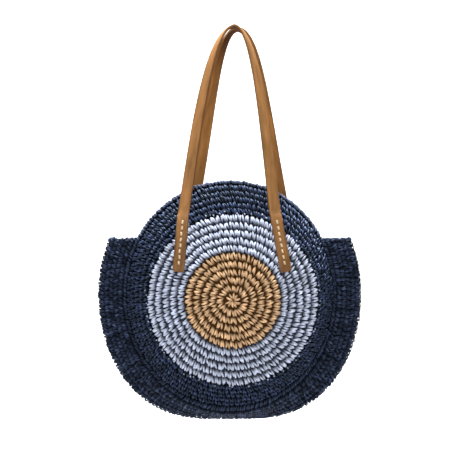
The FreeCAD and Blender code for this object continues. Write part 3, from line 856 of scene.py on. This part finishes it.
# Lining: a cotton oval behind each panel and a strip inside the gusset, sewn together at their edges.
# Cream plain-weave cotton, a little loose, so it has soft puckers; hemmed to the crochet at the mouth.
LINING_OFFSET = 0.0088
LINING_THICKNESS = 0.0008
LINING_ROWS = 40
LINING_SIDES = 160
PUCKER_HEIGHT = 0.0005
PUCKERS = 23
PUCKER_FIRST = 9
PUCKER_FADE_IN = 5
PUCKER_FADE_OUT = 1.5
HEM_ROUNDS = 1.4
HEM_GAP = 0.0004
GUSSET_LINING_INSET = 0.0067
GUSSET_LINING_SETBACK = 0.012
GUSSET_LINING_TOP = EAR_Z - 0.007


def cotton_look():
    """Plain weave: warp and weft crossing, uneven threads, and soft shading from washing."""
    colours = {"Thread": (0.8, 0.8, 0.8, 1), "Shadow": (0.4, 0.4, 0.4, 1)}
    tree, given = new_group("plain weave", {**colours, "Count": 1400.0})
    place = mark_of(tree, "cloth", "Vector")
    split = tree.nodes.new("ShaderNodeSeparateXYZ")
    link(place, split.inputs[0])
    warp = math_node("SINE", times(split.outputs[0], given["Count"]), 0.0)
    weft = math_node("SINE", times(split.outputs[1], given["Count"]), 0.0)
    weave = times(plus(times(warp, weft), 1.0), 0.5)
    slub = noise_on(place, (30.0, 700.0, 1.0), 2.0)
    wash = noise_on(place, (25.0, 25.0, 1.0), 2.0)
    shadow = times(plus(slub, plus(weave, wash)), 0.3)
    colour = mixed(shadow, given["Thread"], given["Shadow"])
    roughness = plus(times(wash, 0.15), 0.75)
    feed(tree.nodes.new("NodeGroupOutput").inputs, (colour, roughness, plus(weave, slub)))
    return tree


def cloth_piece(name, skin, side):
    """A piece of cream cotton, with its weave level and upright."""
    points, blocks = skin
    marks = {"cloth": points[:, [0, 2, 1]]}
    return mesh_piece(name, points, [(block, 0) for block in blocks], [cream_cotton], marks, side)


cream_cotton = group_finish(
    "cream cotton",
    cotton_look(),
    {"Thread": (0.80, 0.72, 0.56, 1), "Shadow": (0.50, 0.41, 0.28, 1)},
    {"Sheen Weight": 0.15, "Specular IOR Level": 0.2},
    (0.25, 0.0003),
)
counts = np.concatenate([[0.03], np.linspace(0.5, PANEL_ROUNDS, LINING_ROWS)])
angle, grid = np.meshgrid(np.linspace(0, 2 * np.pi, LINING_SIDES, endpoint=False), counts)
slack = np.clip((grid - PUCKER_FIRST) / PUCKER_FADE_IN, 0, 1)
slack = slack * np.clip((PANEL_ROUNDS - grid) / PUCKER_FADE_OUT, 0, 1)
pucker = PUCKER_HEIGHT * slack * (np.sin(PUCKERS * angle + 1.3 * np.sin(3 * angle)) - 1)
hem = np.clip((grid - PANEL_ROUNDS + HEM_ROUNDS) / HEM_ROUNDS, 0, 1) ** 2
near_lift = pucker + hem * (LINING_OFFSET - CROCHET_WALL - HEM_GAP) - LINING_OFFSET
oval = ring_skin(
    panel_points(angle, grid, near_lift)[0], panel_points(angle, grid, near_lift - LINING_THICKNESS)[0]
)
for side in SIDES:
    lining = cloth_piece(side + "_lining_cloth", oval, side)
    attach(lining, PANEL_BODY[side])
    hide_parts(side + "_lining")

strip_shares = np.linspace(0, 1, 25)
strip_shape = band_skin(
    strip_shares, 0, -LINING_THICKNESS, GUSSET_LINING_TOP, GUSSET_LINING_INSET, GUSSET_LINING_SETBACK
)
strip = cloth_piece("gusset_lining_cloth", strip_shape, "front")
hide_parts("gusset_lining")
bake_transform(strip)

# Slip pocket: a patch pocket on the inside of the back lining, for a phone or keys.
# The same cream cotton, with a turned hem along its open top and lower corners rounded.
# Sewn to the lining down its sides and along its foot.
POCKET_HALF_WIDTH = 0.075
POCKET_HEIGHT = 0.120
POCKET_TOP = 0.062
POCKET_CORNER = 0.014
POCKET_OFFSET = 0.0105
POCKET_THICKNESS = 0.0009
POCKET_HEM = 0.013
POCKET_HEM_THICKNESS = 0.0007
POCKET_GAPE = 0.003
POCKET_GAPE_DEPTH = 0.06
straight = POCKET_HEIGHT - POCKET_CORNER
drop = np.concatenate([np.linspace(0, straight, 28), np.linspace(straight + 0.001, POCKET_HEIGHT, 12)])
low = np.clip(drop - straight, 0, None)
half = POCKET_HALF_WIDTH - POCKET_CORNER + np.sqrt(np.clip(POCKET_CORNER**2 - low**2, 1e-9, None))
across = np.linspace(-1, 1, 41)
x = PANEL_X + across[None, :] * half[:, None]
z = PANEL_Z + POCKET_TOP - drop[:, None] + 0 * x
open_top = np.clip(1 - drop / POCKET_GAPE_DEPTH, 0, 1)[:, None] ** 2
near = POCKET_OFFSET + POCKET_GAPE * (1 - across**2)[None, :] ** 2 * open_top
far = near + POCKET_THICKNESS + np.where(drop < POCKET_HEM, POCKET_HEM_THICKNESS, 0.0)[:, None]
seat = np.stack([x, -panel_depth(x, z), z], -1)
into = -panel_out(x, z)
pocket_skin = strip_skin(seat + into * near[..., None], seat + into * far[..., None])
pocket = cloth_piece("slip_pocket_cloth", pocket_skin, "back")
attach(pocket, "bag_back")
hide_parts("slip_pocket")

# Magnetic snap and its washers: a stud on the front lining and a socket on the back lining.
# Antique brass, rubbed brighter in spots; the plated steel washers lie hidden behind the cotton.
# Their prongs go through the lining and are bent over on the washers.


def metal_finish(name, dull, bright, rough):
    """The finish of a small metal part, with fine brushing and worn spots."""
    material, tree, shader = plain_shader(name)
    place = object_place(tree)
    wear = noise_on(place, (300.0, 300.0, 300.0), 3.0)
    brushing = noise_on(place, (200.0, 200.0, 4000.0), 1.0)
    link(mixed(wear, dull, bright), shader.inputs["Base Color"])
    link(plus(times(brushing, 0.2), rough), shader.inputs["Roughness"])
    shader.inputs["Metallic"].default_value = 1
    raised(shader, brushing, 0.15, 0.0002)
    return material


def refinish(node, finish):
    """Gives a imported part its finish."""
    node.data.materials.clear()
    node.data.materials.append(finish)


antique_brass = metal_finish("antique brass", (0.20, 0.125, 0.045, 1), (0.55, 0.39, 0.17, 1), rough=0.25)
steel_washer = metal_finish("plated steel", (0.45, 0.45, 0.46, 1), (0.68, 0.68, 0.70, 1), rough=0.3)
METAL_NODES = {
    "snap_stud": antique_brass,
    "snap_socket": antique_brass,
    "front_snap_washer": steel_washer,
    "back_snap_washer": steel_washer,
}
for node_name, finish in METAL_NODES.items():
    refinish(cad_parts[node_name], finish)

# Leather strap handles: one long strip for each panel, sewn on at both ends.
# Tan leather with a fine grain, dark along the burnished edges, with painted shade on the flesh side under
# the crown.
# From the flat sewn ends each leg twists a quarter turn, so that the crown lies level.
Handle = namedtuple("Handle", "top_spread tab_shift foot_shift crown_shift shoulder_spread")
HANDLES = {
    "front": Handle(0.072, -0.001, 0.0045, 0.0075, 0.053),
    "back": Handle(0.079, 0.0150, 0.0, 0.0130, 0.047),
}
TAB_FOOT_Z = -0.400
TAB_TOP_Z = -0.308
TAB_SPLAY = 0.0115
TAB_CORNER = 0.005
TAB_STATIONS = 34
TAB_CROWDING = 1.6
STRAP_WIDTH = 0.0187
STRAP_THICKNESS = 0.004
LEATHER_CLEARANCE = 0.0003
STRAP_SEAT = LEATHER_CLEARANCE + STRAP_THICKNESS / 2
SHOULDER_SHARE = 0.51
CROWN_SPREAD = 0.036
CROWN_DEPTH = 0.0105
CROWN_Z = -0.003
TWIST_LATE = 1.6
LEG_STATIONS = 56
BEVEL = 0.0008
CROWNED = 0.0004
CUT_END = 0.0006
SEWN_LENGTH = 0.1
SEWN_FADE = 0.05
# How far from the crown, and how strongly, the flesh side gets painted shade.
CROWN_SHADE_LENGTH = 0.1
CROWN_SHADE_STRENGTH = 1.4


def tab_station(share, leg, hang):
    """Middle, run and face of a sewn end, share of the way from its foot to its top."""
    spread = hang.top_spread + TAB_SPLAY * (1 - share)
    x = PANEL_X + leg * spread + hang.tab_shift + hang.foot_shift * (1 - share)
    z = TAB_FOOT_Z + (TAB_TOP_Z - TAB_FOOT_Z) * share
    out = panel_out(x, z)
    along = np.array([-leg * TAB_SPLAY - hang.foot_shift, 0, TAB_TOP_Z - TAB_FOOT_Z])
    return np.array([x, -panel_depth(x, z), z]) + out * STRAP_SEAT, unit(along - out * along.dot(out)), out


def leg_station(share, leg, hang):
    """Middle, run and face of a free leg, share of the way from its sewn end's top to the crown."""
    top_x = PANEL_X + leg * hang.top_spread + hang.tab_shift
    normal = panel_out(top_x, TAB_TOP_Z)
    top_y = -panel_depth(top_x, TAB_TOP_Z) - STRAP_SEAT
    start = np.array([hang.top_spread, top_y, TAB_TOP_Z])
    shoulder_y = top_y + (-CROWN_DEPTH - top_y) * SHOULDER_SHARE
    shoulder = np.array([hang.shoulder_spread, shoulder_y, TAB_TOP_Z * (1 - SHOULDER_SHARE)])
    bend = np.array([CROWN_SPREAD, -CROWN_DEPTH, CROWN_Z])
    crown = np.array([0, -CROWN_DEPTH, CROWN_Z])
    rest = 1 - share
    point = start * rest**3 + shoulder * 3 * rest**2 * share + bend * 3 * rest * share**2 + crown * share**3
    ahead = (shoulder - start) * rest**2 + (bend - shoulder) * 2 * rest * share + (crown - bend) * share**2
    ahead = unit(ahead)
    outward = np.array([ahead[2], 0, -ahead[0]]) / math.hypot(ahead[0], ahead[2])
    turn = share**TWIST_LATE * math.pi / 2
    face = np.array([leg * normal[0], normal[1], normal[2]]) * math.cos(turn) + outward * math.sin(turn)
    face = unit(face - ahead * face.dot(ahead))
    mirror = np.array([leg, 1, 1])
    shift = PANEL_X + hang.tab_shift * rest + hang.crown_shift * share
    return point * mirror + np.array([shift, 0, 0]), ahead * mirror, face * mirror


def strap_outline(half_width):
    """Corners of the strap's section, with how far each is an edge and how far on the flesh side."""
    thick = STRAP_THICKNESS / 2
    flat = half_width - BEVEL
    edge = thick - BEVEL
    corners = [(half_width, -edge, 1, 0.5), (half_width, 0, 1, 0.3), (half_width, edge, 0.8, 0)]
    corners += [(half_width - BEVEL * 0.3, thick - BEVEL * 0.3, 0.6, 0), (flat, thick, 0.3, 0)]
    corners += [(flat * 0.6, thick + CROWNED * 0.6, 0.03, 0), (0, thick + CROWNED, 0, 0)]
    mirrored = [(-u, v, e, f) for u, v, e, f in corners[:-1]][::-1]
    flesh = [(-flat, -thick, 0.3, 1), (-flat * 0.5, -thick, 0, 1), (0, -thick, 0, 1)]
    flesh += [(flat * 0.5, -thick, 0, 1), (flat, -thick, 0.3, 1)]
    return np.array(corners + mirrored + flesh)


def strap_stations(hang):
    """Stations from the foot of the right sewn end over the crown to the foot of the left one."""
    legs = {}
    for leg in (1, -1):
        tab_shares = np.linspace(0, 1, TAB_STATIONS)[:-1] ** TAB_CROWDING
        legs[leg] = [tab_station(share, leg, hang) for share in tab_shares]
        legs[leg] += [leg_station(share, leg, hang) for share in np.linspace(0, 1, LEG_STATIONS)]
    return legs[1] + [(point, -ahead, face) for point, ahead, face in legs[-1][:-1]][::-1]


def strap_mesh(name, side, finish):
    """A strap, with its width drawn in at the rounded feet."""
    points, ahead, face = (np.array(part) for part in zip(*strap_stations(HANDLES[side])))
    gone = travel(points)
    from_end = np.minimum(gone, gone[-1] - gone)
    short = np.clip(TAB_CORNER - from_end, 0, None)
    half = STRAP_WIDTH / 2 - TAB_CORNER + np.sqrt(np.clip(TAB_CORNER**2 - short**2, 1e-10, None))
    outline = np.array([strap_outline(half_width) for half_width in half])
    u, v, edge, flesh = np.moveaxis(outline, -1, 0)
    rows = points[:, None] + u[..., None] * np.cross(ahead, face)[:, None] + v[..., None] * face[:, None]
    level = np.zeros(u.shape)
    sewn = np.clip((SEWN_LENGTH - from_end) / SEWN_FADE, 0, 1)
    # The flesh side near the crown gets painted shade, strongest at the crown.
    from_crown = np.abs(gone - gone[-1] / 2)
    painted_crown_shade = np.clip(CROWN_SHADE_STRENGTH * (1 - from_crown / CROWN_SHADE_LENGTH), 0, 1)
    marks = {
        "hide": np.stack([u, gone[:, None] + level, v], -1).reshape(-1, 3),
        "edge": np.where(from_end[:, None] > CUT_END, edge, 1).ravel(),
        "flesh": flesh.ravel(),
        "sewn": (sewn[:, None] + level).ravel(),
        "painted_crown_shade": (painted_crown_shade[:, None] * flesh).ravel(),
    }
    skin, blocks = capped_sleeve(rows)
    return mesh_piece(name, skin, [(block, 0) for block in blocks], [finish], marks, side)


def leather_look():
    """Tanned hide: pebbled grain, pulled-up tones and creases, darker edges, a duller flesh side, and
    painted shade under the crown.
    """
    colours = {"Grain": (0.5, 0.3, 0.1, 1), "Flesh": (0.3, 0.2, 0.1, 1), "Edge and crown shade": (0.2, 0.1, 0.05, 1)}
    tree, given = new_group("tanned hide", colours)
    place = mark_of(tree, "hide", "Vector")
    cells = tree.nodes.new("ShaderNodeTexVoronoi")
    cells.feature = "DISTANCE_TO_EDGE"
    cells.inputs["Scale"].default_value = 1100
    link(place, cells.inputs["Vector"])
    pebble = math_node("MINIMUM", times(cells.outputs["Distance"], 4.0), 1.0)
    pull_up = noise_on(place, (120.0, 22.0, 120.0), 4.0)
    creases = noise_on(place, (60.0, 700.0, 60.0), 2.0)
    mottled = plus(times(plus(pull_up, -0.5), 1.5), 1.0)
    waxed = times(mark_of(tree, "sewn"), -0.22)
    flesh = mark_of(tree, "flesh")
    colour = mixed(flesh, given["Grain"], given["Flesh"])
    colour = brightened(colour, plus(mottled, waxed))
    # The burnished edges' own dark colour, and painted shade under the crown.
    dark_edge_and_crown_shade = math_node("MAXIMUM", times(mark_of(tree, "edge"), 0.55), mark_of(tree, "painted_crown_shade"))
    colour = mixed(dark_edge_and_crown_shade, colour, given["Edge and crown shade"])
    roughness = plus(plus(times(pull_up, 0.25), 0.36), times(flesh, 0.4))
    feed(tree.nodes.new("NodeGroupOutput").inputs, (colour, roughness, plus(pebble, creases)))
    return tree


TAN_GRAIN = (0.265, 0.125, 0.040, 1)
TAN_FLESH = (0.46, 0.212, 0.064, 1)
# The burnished edges' colour, also used for the painted shade under the crown.
TAN_EDGE_AND_CROWN_SHADE = (0.10, 0.036, 0.011, 1)
tan_colours = {"Grain": TAN_GRAIN, "Flesh": TAN_FLESH, "Edge and crown shade": TAN_EDGE_AND_CROWN_SHADE}
tan_leather = group_finish(
    "tan leather", leather_look(), tan_colours, {"Specular IOR Level": 0.22}, (0.3, 0.00025)
)
for side in SIDES:
    handle = strap_mesh(side + "_leather_handle", side, tan_leather)
    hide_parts(side + "_handle_strap", side + "_left_tab", side + "_right_tab")
    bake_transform(handle)

# Backing patches: small leather pieces inside each panel that the stitches are pulled against.
# The same tan leather, flesh side out, lying between the crochet and the lining.
# Held by the stitches of the sewn ends alone.
PATCH_LIGHT = (0.30, 0.16, 0.07, 1)
PATCH_DARK = (0.16, 0.075, 0.03, 1)
rough_leather = mottled_finish(
    "rough leather", PATCH_LIGHT, PATCH_DARK, 900.0, 3.0, {"Roughness": 0.8}, (0.3, 0.0004)
)
LEGS = {"left": -1, "right": 1}
for side in SIDES:
    for leg_name in LEGS:
        refinish(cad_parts[side + "_" + leg_name + "_patch"], rough_leather)

# Hand stitches: a single row of saddle stitches down the middle of each sewn end.
# Waxed cream thread of two plies; each stitch dips into its holes at both ends.
# They go through the leather, the crochet and the patch behind it.
STITCH_COUNT = 8
STITCH_PITCH = 0.0091
STITCH_LENGTH = 0.0062
STITCH_MARGIN = 0.011
STITCH_RISE = 0.0005
STITCH_DIP = 0.0016
STITCH_SKEW = 0.00025
STITCH_NARROWING = 0.35
STITCH_STEPS = 15
STITCH_AROUND = 10
STITCH_SEED = 61
THREAD_RADIUS = 0.0014
THREAD_FLATNESS = 0.8
PLY_DEPTH = 0.22
PLY_TWIST = 5.0
tab_length = math.hypot(TAB_SPLAY, TAB_TOP_Z - TAB_FOOT_Z)


def thread_finish(name, light, dark):
    """The finish of waxed thread, with painted shade between its plies."""
    material, tree, shader = plain_shader(name)
    fibre = noise_on(object_place(tree), (2500.0, 2500.0, 900.0), 2.0)
    link(mixed(mark_of(tree, "painted_ply_light"), dark, light), shader.inputs["Base Color"])
    set_values(shader, {"Roughness": 0.55, "Specular IOR Level": 0.4})
    raised(shader, fibre, 0.3, 0.0002)
    return material


def stitch_row(leg, hang, chance):
    """The stitches of one sewn end: points, and how far each is on a ply rather than in the painted shade
    between two.
    """
    starts = STITCH_MARGIN + np.arange(STITCH_COUNT) * STITCH_PITCH
    stations = [tab_station((start + STITCH_LENGTH / 2) / tab_length, leg, hang) for start in starts]
    seat, ahead, out = (np.array(part)[:, None] for part in zip(*stations))
    across = np.cross(ahead, out)
    skew = chance.normal(0, STITCH_SKEW, (STITCH_COUNT, 2))
    place = np.linspace(-1, 1, STITCH_STEPS)
    height = STRAP_THICKNESS / 2 + STITCH_RISE - STITCH_DIP * np.abs(place) ** 5
    line = seat + ahead * (place * STITCH_LENGTH / 2)[:, None] + out * height[:, None]
    line = line + across * (skew[:, :1] + skew[:, 1:] * place)[..., None]
    turn = 2 * np.pi * np.arange(STITCH_AROUND) / STITCH_AROUND
    lobes = 1 + PLY_DEPTH * np.cos(2 * (turn[None, :] + PLY_TWIST * place[:, None]))
    ring = across[:, :, None] * (np.cos(turn) * THREAD_RADIUS)[:, None]
    ring = ring + out[:, :, None] * (np.sin(turn) * THREAD_RADIUS * THREAD_FLATNESS)[:, None]
    narrow = (1 - STITCH_NARROWING * place**6)[:, None, None]
    # How far each point is on a ply; between plies the thread gets painted shade.
    painted_ply_shading = np.tile(np.clip((lobes - 0.8) / 0.4, 0, 1).ravel(), STITCH_COUNT)
    return (line[:, :, None] + ring * lobes[..., None] * narrow).reshape(-1, 3), painted_ply_shading


cream_thread = thread_finish("cream thread", light=(0.92, 0.74, 0.48, 1), dark=(0.50, 0.33, 0.16, 1))
stitch_blocks = [(block, 0) for block in tube_faces(STITCH_COUNT, STITCH_STEPS, STITCH_AROUND)]
for seed, side in enumerate(SIDES):
    for number, (leg_name, leg) in enumerate(LEGS.items()):
        chance = np.random.default_rng(STITCH_SEED + 2 * seed + number)
        points, painted_ply_shading = stitch_row(leg, HANDLES[side], chance)
        row_name = side + "_" + leg_name
        marks = {"painted_ply_light": painted_ply_shading}
        thread = mesh_piece(row_name + "_thread", points, stitch_blocks, [cream_thread], marks, side)
        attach(thread, PANEL_BODY[side])
        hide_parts(row_name + "_stitches")

# Studio: a pale sweep of paper under and behind the bag, soft light from above and in front.
# The photograph shows no floor, so the bag hangs clear of it and the camera sees the paper as white.
# The camera is level, at the height of the handles' sewn tops.
FLOOR_Z = -1.15
FLOOR_FRONT = -2.5
SWEEP_BACK = 3.2
SWEEP_BEND = 1.2
SWEEP_TOP = 4.0
SWEEP_HALF_WIDTH = 5.0
PAPER_LIFT = 0.85
SKY_LIFT = 0.85
SKY_LIGHT = 0.18
WHITE = (1, 1, 1, 1)


def camera_lift(tree, strength):
    """A strength that only the camera sees, as an output."""
    return times(tree.nodes.new("ShaderNodeLightPath").outputs["Is Camera Ray"], strength)


profile = [(FLOOR_FRONT, FLOOR_Z)]
for turn in np.linspace(0, math.pi / 2, 13):
    bend_y = SWEEP_BACK - SWEEP_BEND + SWEEP_BEND * math.sin(turn)
    profile.append((bend_y, FLOOR_Z + SWEEP_BEND * (1 - math.cos(turn))))
profile.append((SWEEP_BACK, SWEEP_TOP))
sweep_points = [(x, y, z) for y, z in profile for x in (-SWEEP_HALF_WIDTH, SWEEP_HALF_WIDTH)]
sweep_faces = [(2 * i, 2 * i + 1, 2 * i + 3, 2 * i + 2) for i in range(len(profile) - 1)]
sweep_mesh = bpy.data.meshes.new("paper_sweep")
sweep_mesh.from_pydata(sweep_points, [], sweep_faces, shade_flat=False)
paper, paper_tree, paper_shader = plain_shader("white paper")
set_values(paper_shader, {"Base Color": (0.8, 0.8, 0.8, 1), "Roughness": 0.9, "Emission Color": WHITE})
link(camera_lift(paper_tree, PAPER_LIFT), paper_shader.inputs["Emission Strength"])
sweep_mesh.materials.append(paper)
paper_sweep = placed("paper_sweep", sweep_mesh)


def soft_light(name, place, aim, size, power, spread):
    """A large square lamp that looks at a point, with the spread of its beam in degrees."""
    lamp = bpy.data.lights.new(name, "AREA")
    lamp.shape = "SQUARE"
    lamp.size = size
    lamp.energy = power
    lamp.spread = math.radians(spread)
    holder = placed(name, lamp)
    holder.location = place
    holder.rotation_euler = (Vector(aim) - holder.location).to_track_quat("-Z", "Y").to_euler()


soft_light("top light", (-0.1, -0.5, 1.1), (0, 0, -0.4), size=0.6, power=19, spread=180)
soft_light("front light", (-0.3, -2.1, -0.4), (0, 0, -0.48), size=1.5, power=19.5, spread=180)
soft_light("rim light", (0, 0.12, 0.75), (0, -0.03, -0.28), size=0.5, power=21, spread=120)
soft_light("backdrop light", (0, 1.2, 1.8), (0, 2.8, -0.3), size=2.0, power=35, spread=100)
soft_light("floor light", (0, 1.6, 1.2), (0, 1.9, -1.1), size=1.6, power=21, spread=70)

world = bpy.data.worlds.new("studio")
bpy.context.scene.world = world
world.use_nodes = True
sky = world.node_tree.nodes["Background"]
sky.inputs["Color"].default_value = WHITE
sky_strength = plus(camera_lift(world.node_tree, SKY_LIFT), SKY_LIGHT)
link(sky_strength, sky.inputs["Strength"])
bpy.context.scene.view_settings.view_transform = "Standard"

CAMERA_PLACE = (-0.01725, -1.3, -0.3265)
CAMERA_VIEW = math.radians(31.8)
camera = bpy.data.cameras.new("camera")
camera.angle = CAMERA_VIEW
camera_holder = placed("camera", camera)
camera_holder.location = CAMERA_PLACE
camera_holder.rotation_euler = (math.pi / 2, 0, 0)
bpy.context.scene.camera = camera_holder
